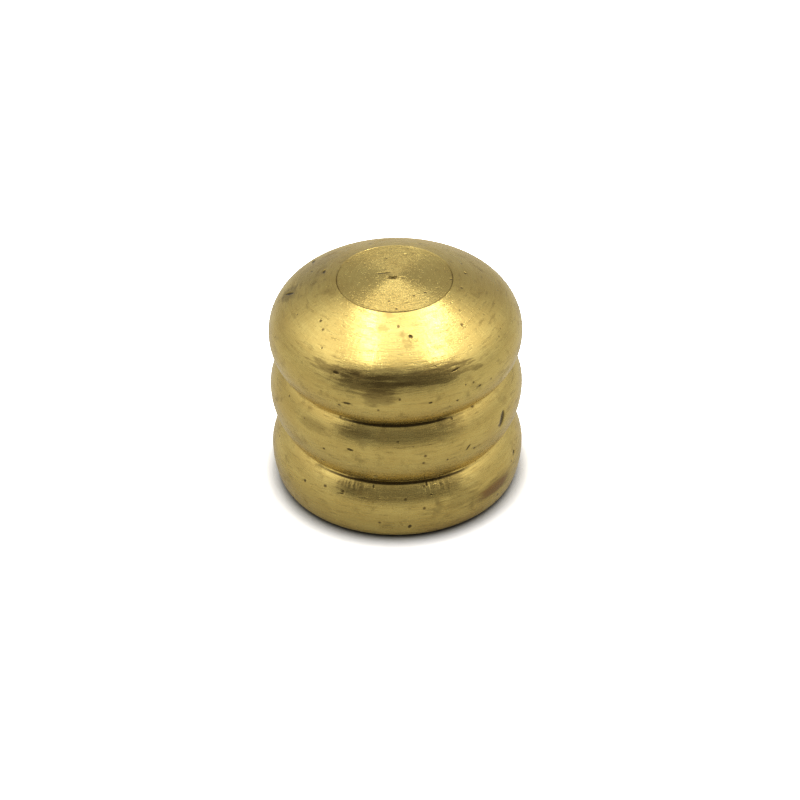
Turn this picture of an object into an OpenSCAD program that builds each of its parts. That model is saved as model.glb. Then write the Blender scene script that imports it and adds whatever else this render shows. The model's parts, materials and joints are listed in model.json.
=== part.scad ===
// Threaded finial, turned from one length of round brass bar.
// A domed head sits on two convex rings with a sharp groove above each, and a blind tapped hole
// in the flat foot takes a threaded stud. The axis is Z, and the foot stands on Z = 0.

/* [Rings] */
// Largest diameter of the lower ring, which is the foot
lower_ring_d = 25; // [22:0.1:28]
// Height of the lower ring's widest line above the foot
lower_wide_z = 3.4; // [2.8:0.1:4]
// Largest diameter of the upper ring
upper_ring_d = 25; // [22:0.1:28]
// Height of the upper ring's widest line above the foot
upper_wide_z = 10.6; // [10:0.1:11.4]
// Radius of each ring's face above its widest line, up to the groove
ring_top_r = 3.8; // [3.2:0.1:8]
// Radius of the flatter face below the lower ring's widest line
lower_belly_r = 8.5; // [6:0.1:14]
// Radius of the face below the upper ring's widest line
upper_belly_r = 6.8; // [5:0.1:12]
// Radius of the round that breaks the foot's edge
foot_edge_r = 1.1; // [0.4:0.1:2]

/* [Head] */
// Largest diameter of the head
head_d = 25; // [22:0.1:28]
// Height of the head's widest line above the foot
head_wide_z = 16.8; // [16.2:0.1:17.4]
// Radius of the head's face below its widest line, down to the upper groove
head_belly_r = 4.7; // [4:0.1:8]
// Radius of the head's round shoulder between the widest line and the crown
head_side_r = 4.4; // [3.6:0.1:6]
// Radius of the crown, a ball face centred on the axis
crown_r = 18.9; // [15:0.1:40]
// Diameter of the faced tip in the middle of the crown
tip_d = 11.3; // [8:0.1:13]
// Height of the shallow cone that the faced tip rises in
tip_rise = 0.35; // [0.1:0.05:0.6]
// Width of the fine line that the facing tool left round the tip
tip_line_w = 0.14; // [0.08:0.01:0.3]
// Depth of that line
tip_line_depth = 0.07; // [0.04:0.01:0.15]

/* [Tapped hole] */
// Diameter of the hole as drilled for tapping a 1/4 inch, 27 threads per inch hole
hole_d = 5.4; // [4:0.1:8]
// Depth of the hole at its full diameter
hole_depth = 12; // [8:0.1:14]
// Angle of the cone that the drill's point left at the bottom, in degrees
drill_point_angle = 118; // [90:1:140]
// Diameter of the countersink at the hole's mouth
mouth_d = 7; // [6.9:0.1:9]
// Angle of the countersink's cone, in degrees
mouth_angle = 90; // [60:1:120]

/* [Hidden] */
$fn = 180;
brass = [0.71, 0.61, 0.33];

// Height by which each slice of the outline reaches into the wider one next to it, and past a
// groove into its neighbour
sink = 0.5;
// Distance by which a cut runs past the face that it opens
cut_past = 1;

// Heights where a ring's top face and the face above it cross, which are the bottoms of the
// sharp grooves. Each is the crossing of two circles, given by their centres and radii.
function crossing_z(x_a, z_a, r_a, x_b, z_b, r_b) =
    let (
        span = norm([x_b - x_a, z_b - z_a]),
        along = (pow(span, 2) + pow(r_a, 2) - pow(r_b, 2)) / 2 / span,
        aside = sqrt(pow(r_a, 2) - pow(along, 2))
    ) z_a + (along * (z_b - z_a) - aside * (x_b - x_a)) / span;

lower_groove_z = crossing_z(
    lower_ring_d / 2 - ring_top_r, lower_wide_z, ring_top_r,
    upper_ring_d / 2 - upper_belly_r, upper_wide_z, upper_belly_r
);
upper_groove_z = crossing_z(
    upper_ring_d / 2 - ring_top_r, upper_wide_z, ring_top_r,
    head_d / 2 - head_belly_r, head_wide_z, head_belly_r
);

// The crown's ball touches the round of the head's side from inside, so the outline runs on
// without a corner.
head_side_x = head_d / 2 - head_side_r;
crown_z = head_wide_z - sqrt(pow(crown_r - head_side_r, 2) - pow(head_side_x, 2));
blend_angle = atan2(head_wide_z - crown_z, head_side_x);
blend_z = crown_z + crown_r * sin(blend_angle);

// The faced tip
tip_z = crown_z + sqrt(pow(crown_r, 2) - pow(tip_d / 2, 2));
top_z = tip_z + tip_rise;

// The hole's cones
mouth_h = (mouth_d - hole_d) / 2 / tan(mouth_angle / 2);
drill_point_h = hole_d / 2 / tan(drill_point_angle / 2);

// Half the width of the squares that clip an outline, which hold the widest section
reach = max(lower_ring_d, upper_ring_d, head_d) / 2;

// The part of an outline between two heights, on the +X side of the axis
module between(z_low, z_high) {
    intersection() {
        children();
        translate([0, z_low]) square([reach, z_high - z_low]);
    }
}

// A slice of the outline with one round face: a circle of face_r that is widest, at wide_r, on
// the height wide_z, filled in to the axis
module slice(wide_r, wide_z, face_r, z_low, z_high) {
    between(z_low, z_high) {
        translate([wide_r - face_r, wide_z]) circle(face_r);
        translate([0, z_low]) square([wide_r - face_r, z_high - z_low]);
    }
}

// Outline of the lower ring with the foot's edge rounded: the corner is cut off square and
// refilled by a small circle that touches the foot's face and the belly.
module lower_ring() {
    ring_r = lower_ring_d / 2;
    belly_x = ring_r - lower_belly_r;
    edge_x = belly_x + sqrt(pow(lower_belly_r - foot_edge_r, 2) - pow(lower_wide_z - foot_edge_r, 2));
    touch_angle = atan2(foot_edge_r - lower_wide_z, edge_x - belly_x);
    touch_z = lower_wide_z + lower_belly_r * sin(touch_angle);
    difference() {
        slice(ring_r, lower_wide_z, lower_belly_r, 0, lower_wide_z);
        translate([edge_x, -cut_past]) square([reach, cut_past + touch_z]);
    }
    between(0, touch_z + sink) translate([edge_x, foot_edge_r]) circle(foot_edge_r);
    slice(ring_r, lower_wide_z, ring_top_r, lower_wide_z - sink, lower_groove_z + sink);
}

module upper_ring() {
    ring_r = upper_ring_d / 2;
    slice(ring_r, upper_wide_z, upper_belly_r, lower_groove_z - sink, upper_wide_z);
    slice(ring_r, upper_wide_z, ring_top_r, upper_wide_z - sink, upper_groove_z + sink);
}

// Outline of the head: the face up from the groove, the round shoulder, the ball of the crown,
// and the shallow cone of the faced tip, whose lower corner is sunk into the crown
module head() {
    slice(head_d / 2, head_wide_z, head_belly_r, upper_groove_z - sink, head_wide_z);
    slice(head_d / 2, head_wide_z, head_side_r, head_wide_z - sink, blend_z + sink);
    between(blend_z, tip_z) translate([0, crown_z]) circle(crown_r);
    polygon([[0, blend_z], [tip_d / 2, tip_z], [0, top_z]]);
}

// The fine V-shaped line between the crown and the faced tip
module tip_line() {
    rotate_extrude() translate([tip_d / 2, tip_z]) polygon([
        [-tip_line_w / 2, tip_line_depth],
        [0, -tip_line_depth],
        [tip_line_w / 2, tip_line_depth]
    ]);
}

// The drilled hole with its countersunk mouth and the cone of the drill's point
module tapped_hole() {
    cylinder(h = hole_depth, d = hole_d);
    translate([0, 0, hole_depth]) cylinder(h = drill_point_h, d1 = hole_d, d2 = 0);
    cylinder(h = mouth_h, d1 = mouth_d, d2 = hole_d);
    translate([0, 0, -cut_past]) cylinder(h = cut_past, d = mouth_d);
}

module finial() {
    color(brass) difference() {
        rotate_extrude() {
            lower_ring();
            upper_ring();
            head();
        }
        tip_line();
        tapped_hole();
    }
}

finial();
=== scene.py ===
# %% [markdown]
# # A turned brass finial
#
# A finial screws onto the end of a rod or post and closes it off. This one is turned on a lathe
# from one length of round brass bar: a domed head on two convex rings, with a sharp groove
# above each ring, and a tapped hole in the foot. It is old and has been handled, so its skin is a
# brushed satin with brown tarnish in the grooves, a few pits, and a torn spot in the middle of
# the head where the last tool left the bar. In the scene the dark just under the grooves is partly
# painted shade, and the dark on the front of the head is partly a painted reflection.
#
# The scene has four parts: the imported model as a fixed frame, the turned body as a mesh, the
# brass as two materials, and a small light tent with a camera.

# %% Load the fixed frame
import json
import math
from collections import namedtuple

import bmesh
import bpy
from mathutils import Matrix, Vector
from mathutils.geometry import intersect_sphere_sphere_2d
from mathutils.kdtree import KDTree

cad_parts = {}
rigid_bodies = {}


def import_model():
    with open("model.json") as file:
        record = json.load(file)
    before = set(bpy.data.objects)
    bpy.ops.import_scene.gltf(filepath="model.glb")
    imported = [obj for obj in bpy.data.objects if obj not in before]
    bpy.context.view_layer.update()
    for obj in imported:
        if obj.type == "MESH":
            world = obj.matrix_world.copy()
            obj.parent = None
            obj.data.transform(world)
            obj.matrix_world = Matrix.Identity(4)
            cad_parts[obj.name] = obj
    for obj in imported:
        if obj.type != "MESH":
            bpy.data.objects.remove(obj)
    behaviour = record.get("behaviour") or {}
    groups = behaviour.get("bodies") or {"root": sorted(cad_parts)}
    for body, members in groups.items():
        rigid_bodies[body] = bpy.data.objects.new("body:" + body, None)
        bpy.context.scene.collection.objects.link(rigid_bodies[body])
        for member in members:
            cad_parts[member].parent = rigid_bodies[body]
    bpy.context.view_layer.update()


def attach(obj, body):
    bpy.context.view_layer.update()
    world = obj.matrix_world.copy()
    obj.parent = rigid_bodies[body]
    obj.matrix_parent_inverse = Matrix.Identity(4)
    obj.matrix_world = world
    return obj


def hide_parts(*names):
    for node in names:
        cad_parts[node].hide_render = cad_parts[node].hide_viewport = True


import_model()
MM = 0.001

# %% [markdown]
# ## The outline
#
# Everything that a lathe makes is one outline turned about an axis. The outline could be drawn
# by hand as a Bezier curve, but a turner works from radii, so it is laid out here as arcs and
# straight lines from the same few sizes as the construction. It starts at the tip of the head,
# runs down the outside to the foot, and goes up the hole to the point that the drill left.
# Lengths are in millimetres until the mesh is made.

# %% Sizes of the outline
bar_r = 12.5
lower_wide_z = 3.4
upper_wide_z = 10.6
head_wide_z = 16.8
ring_top_r = 3.8
lower_belly_r = 8.5
upper_belly_r = 6.8
head_belly_r = 4.7
head_side_r = 4.4
crown_r = 18.9
foot_edge_r = 1.1
tip_r = 5.65
tip_rise = 0.35
tip_line_w = 0.14
tip_line_depth = 0.07
hole_r = 2.7
hole_depth = 12.0
drill_point_angle = 118.0
mouth_r = 3.5

# %% Places that follow from the sizes
head_side = Vector((bar_r - head_side_r, head_wide_z))
head_belly = Vector((bar_r - head_belly_r, head_wide_z))
upper_top = Vector((bar_r - ring_top_r, upper_wide_z))
upper_belly = Vector((bar_r - upper_belly_r, upper_wide_z))
lower_top = Vector((bar_r - ring_top_r, lower_wide_z))
lower_belly = Vector((bar_r - lower_belly_r, lower_wide_z))
crown = Vector((0, head_wide_z - math.sqrt((crown_r - head_side_r) ** 2 - head_side.x ** 2)))
tip_z = crown.y + math.sqrt(crown_r ** 2 - tip_r ** 2)
foot_in = lower_belly_r - foot_edge_r
edge_x = lower_belly.x + math.sqrt(foot_in ** 2 - (lower_wide_z - foot_edge_r) ** 2)
foot_edge = Vector((edge_x, foot_edge_r))
# The countersink is a 90 degree cone, so it is as deep as its radius shrinks.
mouth_h = mouth_r - hole_r
drill_point_h = hole_r / math.tan(math.radians(drill_point_angle / 2))


# %% Helpers that lay out arcs and lines
def angle_to(centre, point):
    """Direction from an arc's centre to a point, in degrees: 0 is outwards and 90 is up."""
    return math.degrees(math.atan2(point[1] - centre[1], point[0] - centre[0]))


def outer_crossing(centre_a, radius_a, centre_b, radius_b):
    """Where two circles cross, on the side away from the axis."""
    crossings = intersect_sphere_sphere_2d(centre_a, radius_a, centre_b, radius_b)
    return max(crossings, key=lambda point: point.x)


def arc(centre, radius, start, end, step):
    """Points along an arc, no further apart than step."""
    count = math.ceil(abs(math.radians(end - start)) * radius / step)
    angles = [math.radians(start + (end - start) * i / count) for i in range(count + 1)]
    return [centre + radius * Vector((math.cos(a), math.sin(a))) for a in angles]


def line(start, end, step):
    """Points along a straight line, no further apart than step."""
    start, end = Vector(start), Vector(end)
    count = math.ceil((end - start).length / step)
    return [start.lerp(end, i / count) for i in range(count + 1)]


# %% Lay out the outline from the tip down
fine_step = 0.12
face_step = 0.3
thread_step = 0.08
torn_r = 2.4

upper_corner = outer_crossing(head_belly, head_belly_r, upper_top, ring_top_r)
lower_corner = outer_crossing(upper_belly, upper_belly_r, lower_top, ring_top_r)
blend = angle_to(crown, head_side)
edge_touch = angle_to(lower_belly, foot_edge)
line_half = tip_line_w / 2
tip_slope = tip_rise / tip_r
line_inner = Vector((tip_r - line_half, tip_z + tip_slope * line_half))
crown_start = math.degrees(math.acos((tip_r + line_half) / crown_r))
crown_turn = math.radians(crown_start)
crown_edge = crown + crown_r * Vector((math.cos(crown_turn), math.sin(crown_turn)))
line_bottom = Vector((tip_r, tip_z - tip_line_depth))
torn_edge = Vector((torn_r, tip_z + tip_rise - tip_slope * torn_r))

outside = [
    line((0, tip_z + tip_rise), torn_edge, fine_step),
    line(torn_edge, line_inner, face_step),
    line(line_inner, line_bottom, fine_step / 2),
    line(line_bottom, crown_edge, fine_step / 2),
    arc(crown, crown_r, crown_start, blend, face_step),
    arc(head_side, head_side_r, blend, 0, face_step),
    arc(head_belly, head_belly_r, 0, angle_to(head_belly, upper_corner), face_step),
    arc(upper_top, ring_top_r, angle_to(upper_top, upper_corner), 0, face_step),
    arc(upper_belly, upper_belly_r, 0, angle_to(upper_belly, lower_corner), face_step),
    arc(lower_top, ring_top_r, angle_to(lower_top, lower_corner), 0, face_step),
    arc(lower_belly, lower_belly_r, 0, edge_touch, face_step),
    arc(foot_edge, foot_edge_r, edge_touch, -90, fine_step),
]
foot_face = [
    line((edge_x, 0), (mouth_r, 0), face_step),
    line((mouth_r, 0), (hole_r, mouth_h), fine_step),
]
bore = line((hole_r, mouth_h), (hole_r, hole_depth), thread_step)
drill_point = line((hole_r, hole_depth), (0, hole_depth + drill_point_h), face_step)


def joined(sections):
    """One list of points from sections that meet end to end."""
    points = [sections[0][0]]
    for section in sections:
        points += section[1:]
    return points


outline = joined([*outside, *foot_face, bore, drill_point])
skin_count = len(joined(outside))
print("outline:", len(outline), "points, of which", skin_count, "are on the outside")

# %% [markdown]
# ## The body, turned by Geometry Nodes
#
# Blender's Screw modifier or Spin tool would turn the outline too. A Geometry Nodes tree is
# chosen because it can do one thing more in the same pass: it cuts the thread. A grid has one
# row for each point of the outline and one column for each step round the axis. Every grid
# point looks up its row's radius and height and is carried round to its column's angle. In the
# bore, the radius also grows by the depth of a V groove that climbs by one pitch in each turn.


# %% A helper that adds a node with its settings and inputs
def add(tree, kind, inputs=None, **settings):
    """Adds a node. An input takes a plain value, or another node's output, which is linked."""
    node = tree.nodes.new(kind)
    for name, value in settings.items():
        setattr(node, name, value)
    for key, value in (inputs or {}).items():
        if isinstance(value, bpy.types.NodeSocket):
            tree.links.new(value, node.inputs[key])
        else:
            node.inputs[key].default_value = value
    return node


def math_node(tree, operation, *values, clamp=False):
    """Adds a Math node and returns its result."""
    inputs = dict(enumerate(values))
    return add(tree, "ShaderNodeMath", inputs, operation=operation, use_clamp=clamp).outputs[0]


# %% The tree that turns an outline
merge_within = 0.001 * MM
cut_share = 0.9


def turning_tree():
    """Geometry Nodes tree: an outline in, a closed turned body with a threaded bore out."""
    tree = bpy.data.node_groups.new("turn on the lathe", "GeometryNodeTree")
    for name, kind in (
        ("Outline", "NodeSocketGeometry"),
        ("Columns", "NodeSocketInt"),
        ("Thread Pitch", "NodeSocketFloat"),
        ("Thread Depth", "NodeSocketFloat"),
        ("Skin", "NodeSocketMaterial"),
        ("Cut Metal", "NodeSocketMaterial"),
    ):
        tree.interface.new_socket(name=name, in_out="INPUT", socket_type=kind)
    tree.interface.new_socket(name="Body", in_out="OUTPUT", socket_type="NodeSocketGeometry")
    given = add(tree, "NodeGroupInput").outputs

    size = add(tree, "GeometryNodeAttributeDomainSize", {"Geometry": given["Outline"]})
    rows = size.outputs["Point Count"]
    seam = math_node(tree, "ADD", given["Columns"], 1.0)
    grid = add(tree, "GeometryNodeMeshGrid", {"Vertices X": seam, "Vertices Y": rows})
    index = add(tree, "GeometryNodeInputIndex").outputs[0]
    split = {0: index, 1: rows}
    row = add(tree, "FunctionNodeIntegerMath", split, operation="MODULO").outputs[0]
    column = add(tree, "FunctionNodeIntegerMath", split, operation="DIVIDE_FLOOR").outputs[0]

    def from_outline(value, kind):
        look_up = {"Geometry": given["Outline"], "Value": value, "Index": row}
        return add(tree, "GeometryNodeSampleIndex", look_up, data_type=kind, domain="POINT").outputs[0]

    def carried(name):
        value = add(tree, "GeometryNodeInputNamedAttribute", {"Name": name}).outputs[0]
        return from_outline(value, "FLOAT")

    place = from_outline(add(tree, "GeometryNodeInputPosition").outputs[0], "FLOAT_VECTOR")
    place = add(tree, "ShaderNodeSeparateXYZ", {0: place}).outputs
    turn = math_node(tree, "DIVIDE", column, given["Columns"])
    climb = math_node(tree, "DIVIDE", place["Z"], given["Thread Pitch"])
    phase = math_node(tree, "FRACT", math_node(tree, "SUBTRACT", climb, turn))
    off_centre = math_node(tree, "ABSOLUTE", math_node(tree, "SUBTRACT", phase, 0.5))
    flank = math_node(tree, "MULTIPLY", off_centre, given["Thread Pitch"])
    # A 60 degree groove deepens by the square root of three for each step along the axis.
    flank_fall = math_node(tree, "MULTIPLY", flank, math.sqrt(3))
    groove = math_node(tree, "SUBTRACT", given["Thread Depth"], flank_fall)
    groove = math_node(tree, "MAXIMUM", groove, 0.0)
    groove = math_node(tree, "MULTIPLY", groove, carried("threaded"))
    radius = math_node(tree, "ADD", place["X"], groove)
    angle = math_node(tree, "MULTIPLY", turn, math.tau)
    turned = {
        "X": math_node(tree, "MULTIPLY", radius, math_node(tree, "COSINE", angle)),
        "Y": math_node(tree, "MULTIPLY", radius, math_node(tree, "SINE", angle)),
        "Z": place["Z"],
    }
    position = add(tree, "ShaderNodeCombineXYZ", turned).outputs[0]
    body = add(tree, "GeometryNodeSetPosition", {"Geometry": grid.outputs["Mesh"], "Position": position})
    stored = {"Geometry": body.outputs[0], "Name": "from_tip", "Value": carried("from_tip")}
    body = add(tree, "GeometryNodeStoreNamedAttribute", stored, data_type="FLOAT", domain="POINT")
    stored = {"Geometry": body.outputs[0], "Name": "cut_metal", "Value": carried("cut_metal")}
    body = add(tree, "GeometryNodeStoreNamedAttribute", stored, data_type="FLOAT", domain="POINT")
    body = add(tree, "GeometryNodeMergeByDistance", {"Geometry": body.outputs[0], "Distance": merge_within})
    body = add(tree, "GeometryNodeFlipFaces", {"Mesh": body.outputs[0]})
    body = add(tree, "GeometryNodeRealizeInstances", {"Geometry": body.outputs[0]})
    body = add(tree, "GeometryNodeSetMaterial", {"Geometry": body.outputs[0], "Material": given["Skin"]})
    is_cut = add(tree, "GeometryNodeInputNamedAttribute", {"Name": "cut_metal"}).outputs[0]
    is_cut = add(tree, "FunctionNodeCompare", {0: is_cut, 1: cut_share}, operation="GREATER_THAN").outputs[0]
    chosen = {"Geometry": body.outputs[0], "Selection": is_cut, "Material": given["Cut Metal"]}
    body = add(tree, "GeometryNodeSetMaterial", chosen)
    add(tree, "NodeGroupOutput", {"Body": body.outputs[0]})
    print("tree", tree.name, "has", len(tree.nodes), "nodes")
    return tree


# %% The outline as a line of points that the tree reads
thread_pitch = 25.4 / 27
thread_depth = 0.475
thread_runout = 1.6


def threaded_share(point):
    """How fully the thread is cut at a point of the outline: 1 in the bore, fading at its end."""
    in_bore = abs(point.x - hole_r) < 1e-4 and mouth_h - 1e-4 < point.y < hole_depth
    if not in_bore:
        return 0.0
    return min(1.0, max(0.0, (hole_depth - thread_runout / 2 - point.y) / thread_runout))


def outline_object(points):
    """A mesh of points and edges, with the values that the tree carries onto the body."""
    mesh = bpy.data.meshes.new("finial outline")
    edges = [(i, i + 1) for i in range(len(points) - 1)]
    mesh.from_pydata([(p.x * MM, 0, p.y * MM) for p in points], edges, [])
    way = [0.0]
    for before, after in zip(points, points[1:]):
        way.append(way[-1] + (after - before).length)
    values = {
        "from_tip": way,
        "threaded": [threaded_share(p) for p in points],
        "cut_metal": [float(i >= skin_count - 1) for i in range(len(points))],
    }
    for name, column in values.items():
        mesh.attributes.new(name, "FLOAT", "POINT").data.foreach_set("value", column)
    maker = bpy.data.objects.new("outline", mesh)
    bpy.context.scene.collection.objects.link(maker)
    print("the outline is", round(way[skin_count - 1], 2), "mm long from the tip to the foot")
    return maker, way


outline_maker, way = outline_object(outline)


def way_at(point):
    """The distance down the outline of the outline's point that is nearest to a given one."""
    nearest = min(range(skin_count), key=lambda i: (outline[i] - point).length)
    return way[nearest]


# %% [markdown]
# ## The brass
#
# The skin of an old turned part has three scales of detail. The finest is the brushing, hair
# lines that run round the axis and make the metal shine in fans and streaks. Above it come
# specks, and above them the tarnish, brown where fingers don't polish it away. It lies in soft
# blotches everywhere and in smears at certain places. Some smears also carry painted shade just
# under the grooves and a painted dark reflection on the front of the head and the rings. Each of
# the four is a node group with named inputs, so a material can place it as often as it likes,
# with values of its own. The patterns read the Object coordinates and the distance along the
# outline, so they wrap round the finial without a seam.


# %% A helper that starts a node group
def start_group(name, inputs, outputs):
    """A shader node group with float inputs and their usual values, and float outputs."""
    tree = bpy.data.node_groups.new(name, "ShaderNodeTree")
    for label, value in inputs.items():
        socket = tree.interface.new_socket(name=label, in_out="INPUT", socket_type="NodeSocketFloat")
        socket.default_value = value
    for label in outputs:
        tree.interface.new_socket(name=label, in_out="OUTPUT", socket_type="NodeSocketFloat")
    return tree, add(tree, "NodeGroupInput").outputs


def round_the_axis(tree, turns, across):
    """A texture vector: the cosine and sine of the angle round the axis, and the way down."""
    place = add(tree, "ShaderNodeTexCoord").outputs["Object"]
    flat = add(tree, "ShaderNodeVectorMath", {0: place, 1: (1, 1, 0)}, operation="MULTIPLY").outputs[0]
    spoke = add(tree, "ShaderNodeVectorMath", {0: flat}, operation="NORMALIZE").outputs[0]
    ring = {0: spoke, "Scale": turns}
    ring = add(tree, "ShaderNodeVectorMath", ring, operation="SCALE").outputs[0]
    way_down = add(tree, "ShaderNodeAttribute", attribute_name="from_tip").outputs["Fac"]
    down = math_node(tree, "MULTIPLY", way_down, across)
    down = add(tree, "ShaderNodeCombineXYZ", {"Z": down}).outputs[0]
    return add(tree, "ShaderNodeVectorMath", {0: ring, 1: down}, operation="ADD").outputs[0]


# %% Group: lathe lines
def lathe_lines_group():
    """Hair lines round the axis: Lines is 0 to 1 and about 0.5 on average."""
    usual = {"Turns": 6.0, "Per mm": 5.0, "Detail": 3.0}
    tree, given = start_group("lathe lines", usual, ["Lines"])
    vector = round_the_axis(tree, given["Turns"], given["Per mm"])
    noise = {"Vector": vector, "Scale": 1.0, "Detail": given["Detail"], "Roughness": 0.6}
    noise = add(tree, "ShaderNodeTexNoise", noise)
    spread = {"Value": noise.outputs["Fac"], "From Min": 0.3, "From Max": 0.7}
    lines = add(tree, "ShaderNodeMapRange", spread).outputs[0]
    add(tree, "NodeGroupOutput", {"Lines": lines})
    return tree


# %% Group: blotches of tarnish
def blotches_group():
    """Soft-edged patches: Mask is 1 inside a patch. Cover moves the edge, and Softness blurs it."""
    usual = {"Size mm": 4.0, "Cover": 0.5, "Softness": 0.1, "Seed": 0.0}
    tree, given = start_group("blotches", usual, ["Mask"])
    place = add(tree, "ShaderNodeTexCoord").outputs["Object"]
    scale = math_node(tree, "DIVIDE", 1 / MM, given["Size mm"])
    noise = {"Vector": place, "W": given["Seed"], "Scale": scale, "Detail": 5.0, "Roughness": 0.62}
    noise = add(tree, "ShaderNodeTexNoise", noise, noise_dimensions="4D").outputs["Fac"]
    edge = math_node(tree, "SUBTRACT", 1.0, given["Cover"])
    low = math_node(tree, "SUBTRACT", edge, given["Softness"])
    high = math_node(tree, "ADD", edge, given["Softness"])
    spread = {"Value": noise, "From Min": low, "From Max": high}
    mask = add(tree, "ShaderNodeMapRange", spread, interpolation_type="SMOOTHSTEP").outputs[0]
    add(tree, "NodeGroupOutput", {"Mask": mask})
    return tree


# %% Group: specks
def specks_group():
    """Scattered dots of different sizes: Mask is 1 in a dot."""
    usual = {"Spacing mm": 1.0, "Radius": 0.12, "Share": 0.5}
    tree, given = start_group("specks", usual, ["Mask"])
    place = add(tree, "ShaderNodeTexCoord").outputs["Object"]
    scale = math_node(tree, "DIVIDE", 1 / MM, given["Spacing mm"])
    cells = add(tree, "ShaderNodeTexVoronoi", {"Vector": place, "Scale": scale}).outputs
    chance = add(tree, "ShaderNodeSeparateColor", {0: cells["Color"]}).outputs
    reach = math_node(tree, "MULTIPLY", given["Radius"], math_node(tree, "ADD", chance[1], 0.4))
    inner = math_node(tree, "MULTIPLY", reach, 0.5)
    dot = {"Value": cells["Distance"], "From Min": inner, "From Max": reach, "To Min": 1.0, "To Max": 0.0}
    dot = add(tree, "ShaderNodeMapRange", dot).outputs[0]
    kept = math_node(tree, "LESS_THAN", chance[0], given["Share"])
    add(tree, "NodeGroupOutput", {"Mask": math_node(tree, "MULTIPLY", dot, kept)})
    return tree


# %% Group: a smear in one place
def smear_group():
    """One oblong patch with a streaky edge. Its place is an angle from the front and a way down."""
    usual = {"Angle": 0.0, "Down mm": 10.0, "Length mm": 6.0, "Width mm": 2.0, "Ragged": 1.0}
    tree, given = start_group("smear", usual, ["Mask"])
    place = add(tree, "ShaderNodeTexCoord").outputs["Object"]
    axes = add(tree, "ShaderNodeSeparateXYZ", {0: place}).outputs
    angle = math_node(tree, "ARCTAN2", axes["X"], math_node(tree, "MULTIPLY", axes["Y"], -1.0))
    aside = math_node(tree, "SUBTRACT", angle, math_node(tree, "RADIANS", given["Angle"]))
    x_squared = math_node(tree, "POWER", axes["X"], 2.0)
    y_squared = math_node(tree, "POWER", axes["Y"], 2.0)
    radius = math_node(tree, "SQRT", math_node(tree, "ADD", x_squared, y_squared))
    # Twice the offset, in mm, so that 1 after the division is half the smear's length away.
    aside = math_node(tree, "MULTIPLY", aside, math_node(tree, "DIVIDE", radius, MM / 2))
    along = math_node(tree, "DIVIDE", aside, given["Length mm"])
    way_down = add(tree, "ShaderNodeAttribute", attribute_name="from_tip").outputs["Fac"]
    above = math_node(tree, "MULTIPLY", math_node(tree, "SUBTRACT", way_down, given["Down mm"]), 2.0)
    across = math_node(tree, "DIVIDE", above, given["Width mm"])
    reach = add(tree, "ShaderNodeCombineXYZ", {0: along, 1: across}).outputs[0]
    reach = add(tree, "ShaderNodeVectorMath", {0: reach}, operation="LENGTH").outputs["Value"]
    vector = round_the_axis(tree, 5.0, 2.2)
    noise = {"Vector": vector, "Scale": 1.0, "Detail": 4.0, "Roughness": 0.65}
    noise = add(tree, "ShaderNodeTexNoise", noise).outputs["Fac"]
    torn = math_node(tree, "MULTIPLY", math_node(tree, "SUBTRACT", noise, 0.5), given["Ragged"])
    reach = math_node(tree, "ADD", reach, math_node(tree, "MULTIPLY", torn, 2.0))
    spread = {"Value": reach, "From Min": 0.55, "From Max": 1.2, "To Min": 1.0, "To Max": 0.0}
    mask = add(tree, "ShaderNodeMapRange", spread, interpolation_type="SMOOTHSTEP").outputs[0]
    add(tree, "NodeGroupOutput", {"Mask": mask})
    return tree


groups = {
    "lines": lathe_lines_group(),
    "blotches": blotches_group(),
    "specks": specks_group(),
    "smear": smear_group(),
}
print("node groups:", [group.name for group in groups.values()])


# %% Helpers for materials
def place_group(tree, name, output, **values):
    """Places one of the groups in a material with its own values, and returns one output."""
    node = tree.nodes.new("ShaderNodeGroup")
    node.node_tree = groups[name]
    for label, value in values.items():
        node.inputs[label.replace("_", " ")].default_value = value
    return node.outputs[output]


def mix_colour(tree, share, below, above):
    """Mixes two colours. Share 0 gives the one below, and 1 the one above."""
    node = add(tree, "ShaderNodeMix", data_type="RGBA")
    for key, value in (("Factor_Float", share), ("A_Color", below), ("B_Color", above)):
        socket = next(s for s in node.inputs if s.identifier == key)
        if isinstance(value, bpy.types.NodeSocket):
            tree.links.new(value, socket)
        else:
            socket.default_value = value
    return next(s for s in node.outputs if s.identifier == "Result_Color")


def new_material(name):
    """A material whose only nodes are a Principled BSDF and its output."""
    material = bpy.data.materials.new(name)
    material.use_nodes = True
    return material, material.node_tree, material.node_tree.nodes["Principled BSDF"]


# %% [markdown]
# ### The skin
#
# The skin could be one noise texture, but then the dirt would lie anywhere. On the real part it
# lies in certain places: in the grooves, in the line round the tip, and on the front of the head's
# shoulder. So the even wear comes from patterns, and the dirt comes from a list of smears that says
# where each one is. The dark band just under each groove is painted shade laid over that dirt, and
# the dark patch on the front of the head's shoulder and the faint ones on the fronts of the ring
# tops are partly tarnish and partly a painted reflection of the tent's dark opening. The shine is
# anisotropic, as on any brushed metal, and follows the brushing round the axis.

# %% The colours of brass and dirt
brass_clean = (0.77, 0.595, 0.19, 1)
brass_warm = (0.55, 0.365, 0.095, 1)
# The brown is tarnish, and in the head-front and ring-top smears also a painted dark reflection.
tarnish_and_painted_reflection_brown = (0.15, 0.095, 0.03, 1)
# The near-black is dirt in the tip line and in the pits, and under the two grooves also painted shade.
groove_dirt_and_painted_shade = (0.035, 0.02, 0.008, 1)
stain_red = (0.27, 0.125, 0.045, 1)
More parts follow.
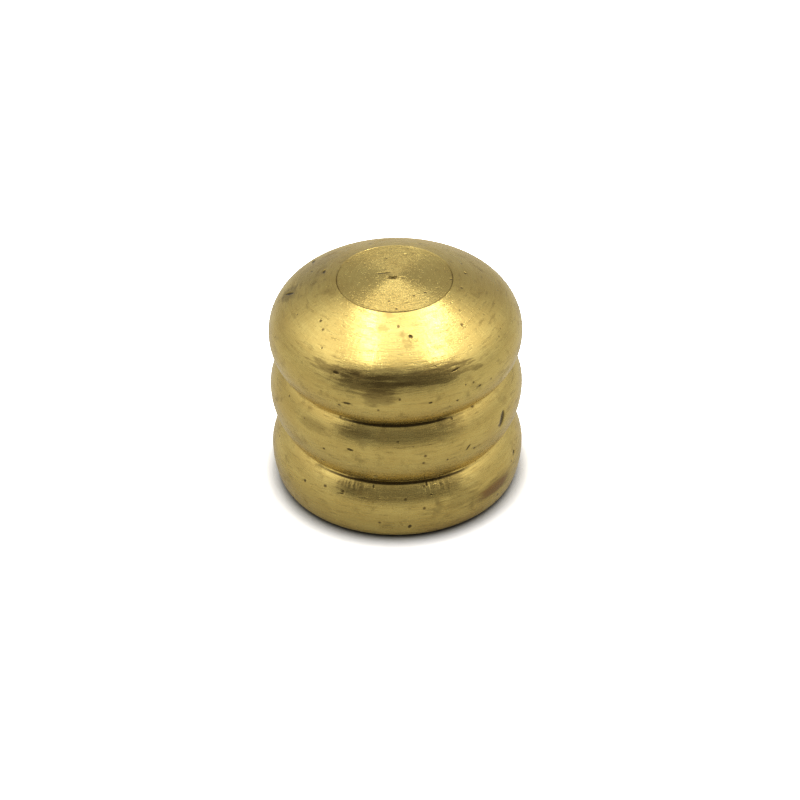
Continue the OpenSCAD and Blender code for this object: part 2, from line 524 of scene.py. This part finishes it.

# %% Where the skin is dirty, and where shade and a dark reflection are painted on it
# Each smear is a colour, how much of it, an angle from the front in degrees, a way down from
# the tip, a length round the axis and a width in mm, and how ragged its edge is.
tip_line_way = way_at(line_bottom)
upper_groove_way = way_at(upper_corner)
lower_groove_way = way_at(lower_corner)
tarnish_shade_and_reflection_smears = [
    # Painted reflection, partly tarnish: the next five smears make the dark patch on the front of the head's
    # shoulder, which stands in part for the tent's dark front opening mirrored in the brass.
    (tarnish_and_painted_reflection_brown, 0.60, -14, 13.5, 8.0, 2.3, 1.2),
    (tarnish_and_painted_reflection_brown, 0.50, -31, 12.9, 5.0, 1.3, 1.4),
    (tarnish_and_painted_reflection_brown, 0.60, 14, 13.0, 13.0, 1.5, 1.4),
    (tarnish_and_painted_reflection_brown, 0.55, -8, 14.7, 3.6, 2.2, 0.8),
    (tarnish_and_painted_reflection_brown, 0.35, 0, 12.5, 15.0, 1.4, 1.6),
    # Painted reflection, partly tarnish: this faint front smear under the upper groove stands in part for
    # the dark front opening mirrored in the ring's top.
    (tarnish_and_painted_reflection_brown, 0.12, 0, 20.4, 10.5, 1.6, 0.8),
    (tarnish_and_painted_reflection_brown, 0.40, -21, 20.2, 4.0, 1.6, 0.9),
    (tarnish_and_painted_reflection_brown, 0.40, 26, 19.7, 3.0, 1.2, 0.9),
    # Painted reflection, partly tarnish: this faint front smear under the lower groove stands in part for
    # the dark front opening mirrored in the ring's top.
    (tarnish_and_painted_reflection_brown, 0.08, 0, 28.4, 12.0, 1.8, 0.8),
    (tarnish_and_painted_reflection_brown, 0.45, -23, 28.0, 3.2, 1.6, 0.9),
    (tarnish_and_painted_reflection_brown, 0.45, 26, 27.7, 3.2, 1.4, 0.9),
    (tarnish_and_painted_reflection_brown, 0.35, 31, 29.8, 4.5, 2.4, 1.2),
    (tarnish_and_painted_reflection_brown, 0.45, -95, 11.0, 2.6, 2.6, 1.0),
    (tarnish_and_painted_reflection_brown, 0.25, -115, 9.0, 8.0, 4.0, 1.2),
    (tarnish_and_painted_reflection_brown, 0.30, -42, 21.0, 4.0, 1.5, 1.0),
    (tarnish_and_painted_reflection_brown, 0.45, 49.5, 30.7, 6.2, 2.1, 0.6),
    (stain_red, 0.65, 49.5, 30.7, 5.0, 1.4, 0.5),
    (stain_red, 0.25, 28, 33.0, 7.0, 1.2, 1.0),
    (groove_dirt_and_painted_shade, 0.45, 0, tip_line_way, 90.0, 0.20, 0.1),
    (groove_dirt_and_painted_shade, 0.60, 0, tip_line_way, 9.0, 0.20, 0.1),
    # Painted shade on top of the dirt in the groove: these two lines sit just below each groove's corner,
    # where the lip above keeps the light away.
    (groove_dirt_and_painted_shade, 0.95, 0, upper_groove_way + 0.18, 14.0, 0.4, 0.3),
    (groove_dirt_and_painted_shade, 0.95, 0, lower_groove_way + 0.2, 18.0, 0.4, 0.3),
]


# %% The skin
def scaled(tree, mask, amount):
    """A mask made weaker."""
    return math_node(tree, "MULTIPLY", mask, amount)


def brushed_brass():
    """Satin brass, brushed round the axis, with tarnish, stains, specks, grooves darkened by dirt and
    painted shade, and painted dark reflections on the fronts.
    """
    material, tree, shader = new_material("brushed brass")
    fine = place_group(tree, "lines", "Lines", Turns=9.0, Per_mm=7.0, Detail=3.0)
    broad = place_group(tree, "lines", "Lines", Turns=3.5, Per_mm=2.6, Detail=5.0)
    rays = place_group(tree, "lines", "Lines", Turns=30.0, Per_mm=0.5, Detail=2.0)
    clouds = place_group(tree, "blotches", "Mask", Size_mm=5.0, Cover=0.5, Softness=0.16, Seed=3.0)
    stains = place_group(tree, "blotches", "Mask", Size_mm=2.2, Cover=0.38, Softness=0.08, Seed=11.0)
    scuffs = place_group(tree, "lines", "Lines", Turns=7.0, Per_mm=3.2, Detail=6.0)
    spread = {"Value": scuffs, "From Min": 0.62, "From Max": 0.95}
    scuffs = add(tree, "ShaderNodeMapRange", spread).outputs[0]
    dots = place_group(tree, "specks", "Mask", Spacing_mm=1.2, Radius=0.14, Share=0.6)
    colour = mix_colour(tree, scaled(tree, clouds, 0.4), brass_clean, brass_warm)
    colour = mix_colour(tree, scaled(tree, broad, 0.45), colour, brass_warm)
    colour = mix_colour(tree, scaled(tree, stains, 0.35), colour, tarnish_and_painted_reflection_brown)
    colour = mix_colour(tree, scaled(tree, scuffs, 0.32), colour, tarnish_and_painted_reflection_brown)
    # Each smear mixes in its colour: dirt, tarnish and stains, and for the marked ones painted shade under
    # the grooves and a painted reflection on the fronts.
    for smear_colour, share, angle, down, length, width, ragged in tarnish_shade_and_reflection_smears:
        place = {"Angle": angle, "Down_mm": down, "Length_mm": length, "Width_mm": width}
        smear = place_group(tree, "smear", "Mask", Ragged=ragged, **place)
        colour = mix_colour(tree, scaled(tree, smear, share), colour, smear_colour)
    colour = mix_colour(tree, scaled(tree, dots, 0.85), colour, tarnish_and_painted_reflection_brown)
    pressed = add(tree, "ShaderNodeAttribute", attribute_name="pressed").outputs["Fac"]
    colour = mix_colour(tree, scaled(tree, pressed, 0.85), colour, groove_dirt_and_painted_shade)
    tree.links.new(colour, shader.inputs["Base Color"])
    rough = math_node(tree, "MULTIPLY_ADD", fine, 0.1, 0.2)
    rough = math_node(tree, "MULTIPLY_ADD", stains, 0.1, rough)
    tree.links.new(rough, shader.inputs["Roughness"])
    place = {"Angle": 1.0, "Down_mm": 27.8, "Length_mm": 11.0, "Width_mm": 1.6}
    chatter = place_group(tree, "smear", "Mask", **place)
    way_down = add(tree, "ShaderNodeAttribute", attribute_name="from_tip").outputs["Fac"]
    spread = {"Value": way_down, "From Min": 5.0, "From Max": 9.0}
    off_tip = add(tree, "ShaderNodeMapRange", spread).outputs[0]
    rays = math_node(tree, "MULTIPLY", rays, off_tip)
    chatter = math_node(tree, "MULTIPLY", rays, math_node(tree, "MULTIPLY_ADD", chatter, 5.0, 0.8))
    height = math_node(tree, "MULTIPLY_ADD", broad, 0.9, fine)
    height = math_node(tree, "MULTIPLY_ADD", dots, -3.0, height)
    height = math_node(tree, "ADD", height, chatter)
    height = math_node(tree, "MULTIPLY_ADD", scuffs, -1.5, height)
    bump = {"Height": height, "Strength": 0.6, "Distance": 0.01 * MM}
    bump = add(tree, "ShaderNodeBump", bump).outputs[0]
    tree.links.new(bump, shader.inputs["Normal"])
    tangent = add(tree, "ShaderNodeTangent", direction_type="RADIAL", axis="Z").outputs[0]
    tree.links.new(tangent, shader.inputs["Tangent"])
    shader.inputs["Metallic"].default_value = 1.0
    shader.inputs["Anisotropic"].default_value = 0.87
    shader.inputs["Anisotropic Rotation"].default_value = 0.25
    return material


# %% Material: cut brass of the foot and the thread
def cut_brass():
    """Bright brass as the tool left it, with rings from the facing cut and a little grime."""
    material, tree, shader = new_material("cut brass")
    rings = place_group(tree, "lines", "Lines", Turns=1.2, Per_mm=9.0, Detail=2.0)
    stains = place_group(tree, "blotches", "Mask", Size_mm=3.0, Cover=0.46, Softness=0.1, Seed=7.0)
    colour = mix_colour(tree, scaled(tree, stains, 0.55), brass_clean, tarnish_and_painted_reflection_brown)
    tree.links.new(colour, shader.inputs["Base Color"])
    tree.links.new(math_node(tree, "MULTIPLY_ADD", stains, 0.2, 0.25), shader.inputs["Roughness"])
    bump = {"Height": rings, "Strength": 0.3, "Distance": 0.02 * MM}
    bump = add(tree, "ShaderNodeBump", bump).outputs[0]
    tree.links.new(bump, shader.inputs["Normal"])
    shader.inputs["Metallic"].default_value = 1.0
    shader.inputs["Anisotropic"].default_value = 0.5
    shader.inputs["Anisotropic Rotation"].default_value = 0.25
    return material


brass_skin = brushed_brass()
brass_cut = cut_brass()
print("materials:", brass_skin.name, "and", brass_cut.name)


# %% Turn the body
def turned_mesh(maker, **inputs):
    """Runs the turning tree on the outline and returns the result as a plain mesh."""
    modifier = maker.modifiers.new("lathe", "NODES")
    modifier.node_group = turning_tree()
    for item in modifier.node_group.interface.items_tree:
        label = item.name.replace(" ", "_")
        if item.in_out == "INPUT" and label in inputs:
            modifier[item.identifier] = inputs[label]
    graph = bpy.context.evaluated_depsgraph_get()
    mesh = bpy.data.meshes.new_from_object(maker.evaluated_get(graph), depsgraph=graph)
    maker.modifiers.remove(modifier)
    bpy.data.objects.remove(maker)
    return mesh


columns = 192
finial_mesh = turned_mesh(
    outline_maker,
    Columns=columns,
    Thread_Pitch=thread_pitch * MM,
    Thread_Depth=thread_depth * MM,
    Skin=brass_skin,
    Cut_Metal=brass_cut,
)
print("turned body:", len(finial_mesh.vertices), "vertices,", len(finial_mesh.polygons), "faces")

# %% [markdown]
# ## Marks
#
# Pits and nicks could be drawn in a bump texture, but a bump never breaks the outline and is
# lost in the exported mesh. Here each one is pressed into the mesh. The faces near a mark are
# split until they are fine enough to carry it, and only there, so the mesh stays light. A mark
# is placed as one would measure it on the bench: the angle round from the front, and the
# distance down the outline from the tip.

# %% The marks
# A mark's angle is in degrees from the front. Its turn is in degrees too, and is 0 where the mark
# runs round the axis. The other four are in mm.
Mark = namedtuple("Mark", "angle down length width depth turn")
marks = [
    Mark(0, 0.3, 0.9, 0.45, 0.16, 10),
    Mark(-60, 0.5, 0.8, 0.4, 0.12, 60),
    Mark(-120, 1.2, 1.7, 0.25, 0.03, -60),
    Mark(70, 0.9, 0.9, 0.2, 0.03, -75),
    Mark(10, 8.6, 0.5, 0.34, 0.12, -40),
    Mark(-127, 10.5, 1.0, 0.35, 0.08, 40),
    Mark(-108, 7.4, 0.8, 0.35, 0.08, 10),
    Mark(-95, 10.9, 1.3, 0.4, 0.07, 60),
    Mark(102, 7.2, 0.4, 0.3, 0.08, 0),
    Mark(165, 4.1, 0.4, 0.3, 0.08, 30),
    Mark(-22.5, 15.9, 1.0, 0.25, 0.06, 3),
    Mark(28.5, 12.9, 1.1, 0.22, 0.05, 8),
    Mark(-29, 13.0, 0.7, 0.3, 0.06, 0),
    Mark(40, 15.5, 0.35, 0.25, 0.06, 0),
    Mark(28, 16.2, 0.35, 0.22, 0.06, 0),
    Mark(15, 15.6, 0.5, 0.2, 0.05, 0),
    Mark(55.5, 22.2, 2.0, 0.75, 0.1, 62),
    Mark(33.5, 23.1, 0.9, 0.22, 0.05, 50),
    Mark(-21.5, 22.2, 0.8, 0.25, 0.06, -5),
    Mark(-35, 23.1, 0.35, 0.25, 0.06, 0),
    Mark(21, 26.1, 0.5, 0.2, 0.05, 0),
    Mark(-11, 25.8, 0.5, 0.3, 0.1, 0),
    Mark(15.5, 28.6, 0.32, 0.26, 0.08, 0),
    Mark(-48, 29.3, 0.4, 0.3, 0.07, 0),
    Mark(-38, 25.1, 0.35, 0.25, 0.06, 0),
    Mark(70, 29.2, 0.4, 0.35, 0.07, 0),
    Mark(-27, 28.9, 0.6, 0.22, 0.05, 0),
    Mark(-12, 27.6, 0.5, 0.2, 0.06, 90),
    Mark(14, 27.5, 0.6, 0.22, 0.06, 90),
    Mark(5, 32.1, 0.6, 0.4, 0.06, 70),
]


# %% Press the marks into the body
def outline_at(distance):
    """The point of the outline at a distance from the tip, and the direction outwards there."""
    i = next(k for k in range(1, len(way)) if way[k] >= distance)
    share = (distance - way[i - 1]) / (way[i] - way[i - 1])
    along = (outline[i] - outline[i - 1]).normalized()
    return outline[i - 1].lerp(outline[i], share), Vector((-along.y, along.x))


def mark_axes(mark):
    """Centre of a mark and its three directions: along, across and out of the metal."""
    point, outwards = outline_at(mark.down)
    a = math.radians(mark.angle)
    spoke = Vector((math.sin(a), -math.cos(a), 0))
    centre = (spoke * point.x + Vector((0, 0, point.y))) * MM
    normal = (spoke * outwards.x + Vector((0, 0, outwards.y))).normalized()
    around = Vector((math.cos(a), math.sin(a), 0))
    along = Matrix.Rotation(math.radians(mark.turn), 3, normal) @ around
    return centre, along, normal.cross(along), normal


def vertex_finder(body):
    """A search tree of the mesh's vertices, by their numbers."""
    body.verts.index_update()
    body.verts.ensure_lookup_table()
    finder = KDTree(len(body.verts))
    for vertex in body.verts:
        finder.insert(vertex.co, vertex.index)
    finder.balance()
    return finder


def near_mark(body, finder, mark, margin):
    """The vertices in and round a mark."""
    reach = (mark.length / 2 + margin) * MM
    return {body.verts[index] for _, index, _ in finder.find_range(mark_axes(mark)[0], reach)}


def split_round_marks(body, passes):
    """Halves the edges in and round the marks that are longer than a quarter of a mark's width."""
    for _ in range(passes):
        finder = vertex_finder(body)
        coarse = set()
        for mark in marks:
            near = near_mark(body, finder, mark, face_step)
            between = {
                edge for vertex in near for edge in vertex.link_edges
                if edge.other_vert(vertex) in near
            }
            coarse.update(edge for edge in between if edge.calc_length() > mark.width / 4 * MM)
        bmesh.ops.subdivide_edges(body, edges=list(coarse), cuts=1, use_grid_fill=True)


bowl_power = 0.6


def press_marks(mesh):
    """Presses every mark into the mesh, and notes on each vertex how far inside a mark it is."""
    body = bmesh.new()
    body.from_mesh(mesh)
    split_round_marks(body, passes=3)
    pressed = body.verts.layers.float.new("pressed")
    finder = vertex_finder(body)
    for mark in marks:
        centre, along, across, normal = mark_axes(mark)
        for vertex in near_mark(body, finder, mark, 0):
            offset = vertex.co - centre
            u = offset.dot(along) / (mark.length / 2 * MM)
            v = offset.dot(across) / (mark.width / 2 * MM)
            inside = 1 - u * u - v * v
            if inside > 0:
                vertex.co -= normal * mark.depth * MM * inside ** bowl_power
                vertex[pressed] = max(vertex[pressed], min(1.0, inside * 2))
    body.to_mesh(mesh)
    body.free()
    print(len(marks), "marks pressed")


press_marks(finial_mesh)

# %% Hand the body to the frame
crease_angle = 32
finial_mesh.shade_smooth()
finial_mesh.set_sharp_from_angle(angle=math.radians(crease_angle))
finial = bpy.data.objects.new("turned_finial", finial_mesh)
bpy.context.scene.collection.objects.link(finial)
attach(finial, "root")
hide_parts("finial")
triangles = sum(len(p.vertices) - 2 for p in finial_mesh.polygons)
print("turned_finial:", triangles, "triangles")

# %% [markdown]
# ## Floor, light tent and camera
#
# Polished metal shows its surroundings, so the light is most of its look. Small metal parts are
# lit in a tent: white walls at the sides, a bright ceiling with two strips of lamps and one lamp
# at the rear, and an opening at the front that stays dark. The tent's walls are painted in the
# world shader, and the panel, the strips and the rear lamp are area lamps. The floor is a white
# sheet, and its narrow soft shadow round the foot is painted shade: an ambient occlusion node
# darkens the sheet's colour there.


# %% The tent's walls
def ramp(tree, value, stops):
    """A colour ramp used as a curve: grey levels at places from 0 to 1."""
    node = add(tree, "ShaderNodeValToRGB", {0: value})
    elements = node.color_ramp.elements
    while len(elements) < len(stops):
        elements.new(0.5)
    for element, (place, level) in zip(elements, stops):
        element.position = place
        element.color = (level, level, level, 1)
    return node.outputs[0]


def tent_world():
    """World shader: dark opening in front, bright sides, a dimmer back, white to the camera."""
    world = bpy.data.worlds.new("light tent")
    world.use_nodes = True
    tree = world.node_tree
    look = add(tree, "ShaderNodeTexCoord").outputs["Generated"]
    look = add(tree, "ShaderNodeSeparateXYZ", {0: look}).outputs
    level = math_node(tree, "DIVIDE", math_node(tree, "ARCSINE", look["Z"]), math.pi / 2)
    level = math_node(tree, "MAXIMUM", level, 0.0)
    forward = math_node(tree, "MULTIPLY", look["Y"], -1.0)
    round_about = math_node(tree, "ARCTAN2", math_node(tree, "ABSOLUTE", look["X"]), forward)
    round_about = math_node(tree, "DIVIDE", round_about, math.pi)
    front = ramp(tree, level, [(0.0, 0.15), (0.4, 0.2), (0.6, 0.35), (0.8, 0.8)])
    side = ramp(tree, level, [(0.0, 0.48), (0.3, 0.8), (0.45, 1.2), (0.55, 1.6), (0.68, 1.35), (0.8, 1.0)])
    back = ramp(tree, level, [(0.0, 0.5), (0.25, 0.42), (0.45, 0.42), (0.6, 0.6), (0.8, 1.0)])
    to_side = ramp(tree, round_about, [(0.25, 0.0), (0.36, 1.0)])
    to_back = ramp(tree, round_about, [(0.7, 0.0), (0.85, 1.0)])
    walls = mix_colour(tree, to_side, front, side)
    walls = mix_colour(tree, to_back, walls, back)
    seen = add(tree, "ShaderNodeLightPath").outputs["Is Camera Ray"]
    colour = mix_colour(tree, seen, walls, (1, 1, 1, 1))
    tree.links.new(colour, tree.nodes["Background"].inputs["Color"])
    bpy.context.scene.world = world
    print("world:", world.name)


tent_world()


# %% The ceiling's lamps
def area_lamp(name, place, width, depth, radiance):
    """A flat lamp that faces down from the ceiling. Radiance is what a mirror would show."""
    lamp = bpy.data.lights.new(name, "AREA")
    lamp.shape = "RECTANGLE"
    lamp.size, lamp.size_y = width, depth
    lamp.energy = radiance * math.pi * width * depth
    holder = bpy.data.objects.new(name, lamp)
    holder.location = place
    holder.visible_camera = False
    bpy.context.scene.collection.objects.link(holder)
    return holder


ceiling = 0.30


def on_ceiling(degrees):
    """How far from the middle of the ceiling a direction leads, in metres."""
    return ceiling * math.tan(math.radians(degrees))


panel_front, panel_back = on_ceiling(-14), on_ceiling(33)
panel_middle = (panel_front + panel_back) / 2
panel_depth = panel_back - panel_front
panel_place = (on_ceiling(3.5), panel_middle, ceiling)
area_lamp("ceiling panel", panel_place, width=on_ceiling(21) * 2, depth=panel_depth, radiance=1.2)
rear_place = (on_ceiling(2), on_ceiling(38), ceiling)
area_lamp("rear lamp", rear_place, width=on_ceiling(6) * 2, depth=on_ceiling(8), radiance=4.0)
# The strips hang just under the panel, so that it doesn't hide them.
strip_height = ceiling * 0.99
for name, degrees in (("left strip", -13), ("right strip", 20)):
    strip_place = (on_ceiling(degrees), panel_middle, strip_height)
    area_lamp(name, strip_place, width=on_ceiling(2.0), depth=panel_depth, radiance=17.0)


# %% The floor
# How far and how strongly the painted contact shadow darkens the sheet's colour.
shadow_reach = 3.5 * MM
shadow_power = 2.2
sheet_gain = 3.2


def pale_floor():
    """A matt white sheet. It looks white to the camera and a middling grey in the brass. Round the foot, a
    painted shadow from ambient occlusion darkens its colour.
    """
    bpy.ops.mesh.primitive_plane_add(size=3)
    floor = bpy.context.object
    floor.name = "floor"
    material, tree, shader = new_material("white sheet")
    # Painted shadow: ambient occlusion darkens the sheet's colour round the foot, as the camera sees it.
    open_sky = add(tree, "ShaderNodeAmbientOcclusion", {"Distance": shadow_reach}, samples=12)
    shade = math_node(tree, "POWER", open_sky.outputs["AO"], shadow_power)
    white = math_node(tree, "MULTIPLY", shade, sheet_gain)
    seen = add(tree, "ShaderNodeLightPath").outputs["Is Camera Ray"]
    colour = mix_colour(tree, seen, (0.55, 0.55, 0.53, 1), white)
    tree.links.new(colour, shader.inputs["Base Color"])
    shader.inputs["Roughness"].default_value = 1.0
    shader.inputs["Specular IOR Level"].default_value = 0.0
    floor.data.materials.append(material)
    return floor


pale_floor()

# %% [markdown]
# ### Camera
#
# The camera looks down at about 36 degrees from a third of a metre, through a long lens. It is
# first aimed straight at a point on the axis, then rolled, and then turned a little so that
# the point lands where it belongs in the picture. Shift stays at zero.

# %% The camera
camera_distance = 0.350
camera_elevation = math.radians(36.3)
camera_roll = math.radians(-0.97)
aim_point = Vector((0, 0, 0.012))
picture_side = 800
focal_px = 3533.6
aim_right_px = -3.9
aim_up_px = 32.0


def make_camera():
    """Places the camera so that the aim point lands at its place in the picture."""
    data = bpy.data.cameras.new("camera")
    data.sensor_width = 36
    data.lens = focal_px / picture_side * data.sensor_width
    data.clip_start, data.clip_end = 0.01, 10
    camera = bpy.data.objects.new("camera", data)
    bpy.context.scene.collection.objects.link(camera)
    away = Vector((0, -math.cos(camera_elevation), math.sin(camera_elevation)))
    straight = (-away).to_track_quat("-Z", "Y")
    roll = Matrix.Rotation(camera_roll, 3, "Z").to_quaternion()
    wanted = Vector((aim_right_px, aim_up_px, -focal_px)).normalized()
    aside = wanted.rotation_difference(Vector((0, 0, -1)))
    camera.rotation_mode = "QUATERNION"
    camera.rotation_quaternion = straight @ roll @ aside
    camera.location = aim_point + away * camera_distance
    bpy.context.scene.camera = camera
    print("camera lens:", round(data.lens, 1), "mm")


make_camera()
view_settings = bpy.context.scene.view_settings
view_settings.view_transform = "Standard"
view_settings.look = "None"
